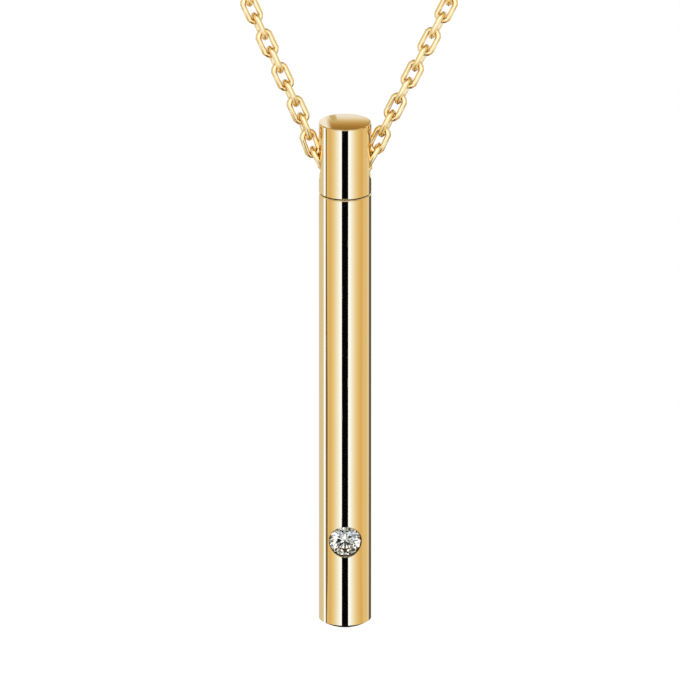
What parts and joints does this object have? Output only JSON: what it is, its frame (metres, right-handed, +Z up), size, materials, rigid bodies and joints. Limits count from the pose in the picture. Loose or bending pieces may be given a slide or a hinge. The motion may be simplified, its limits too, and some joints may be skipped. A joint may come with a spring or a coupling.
{
  "type": "keepsake urn pendant on a cable chain",
  "caption": "Slim cylinder pendant that unscrews into a hollow tube, with a flush round stone near its foot, on a cable chain loop through its cap.",
  "frame": {"origin": "nape of the neck, at the middle of the clasp", "axes": "+Z up, -Y the front that shows the stone, +X to the right in the picture's view"},
  "size_m": [0.1058, 0.0904, 0.1862],
  "materials": {
    "polished_gold": "mirror polished gold plating",
    "screw_gold": "machined gold plating",
    "chain_gold": "bright gold plating",
    "clear_stone": "facet cut, clear"
  },
  "bodies": {
    "neck_chain": {"chain": "chain_gold", "clasp": "chain_gold"},
    "cap_body": {"cap": "polished_gold"},
    "stud_body": {"thread_stud": "screw_gold"},
    "tube_body": {"urn_tube": "polished_gold", "stone": "clear_stone"}
  },
  "joints": [
    {"name": "pendant_swing", "type": "hinge", "parent": "neck_chain", "child": "cap_body", "pos_m": [0, -0.08561, -0.13829], "axis": [1, 0, 0], "range_deg": [-60, 60]},
    {"name": "tube_turn", "type": "hinge", "parent": "cap_body", "child": "stud_body", "pos_m": [0, -0.08561, -0.13829], "axis": [0, 0, -1], "range_deg": [0, 2880]},
    {"name": "tube_travel", "type": "slide", "parent": "stud_body", "child": "tube_body", "axis": [0, 0, -1], "range_m": [0, 0.004]}
  ],
  "couplings": [
    {"joint": "tube_turn", "follows": "tube_travel", "rad_per_m": 12566}
  ]
}
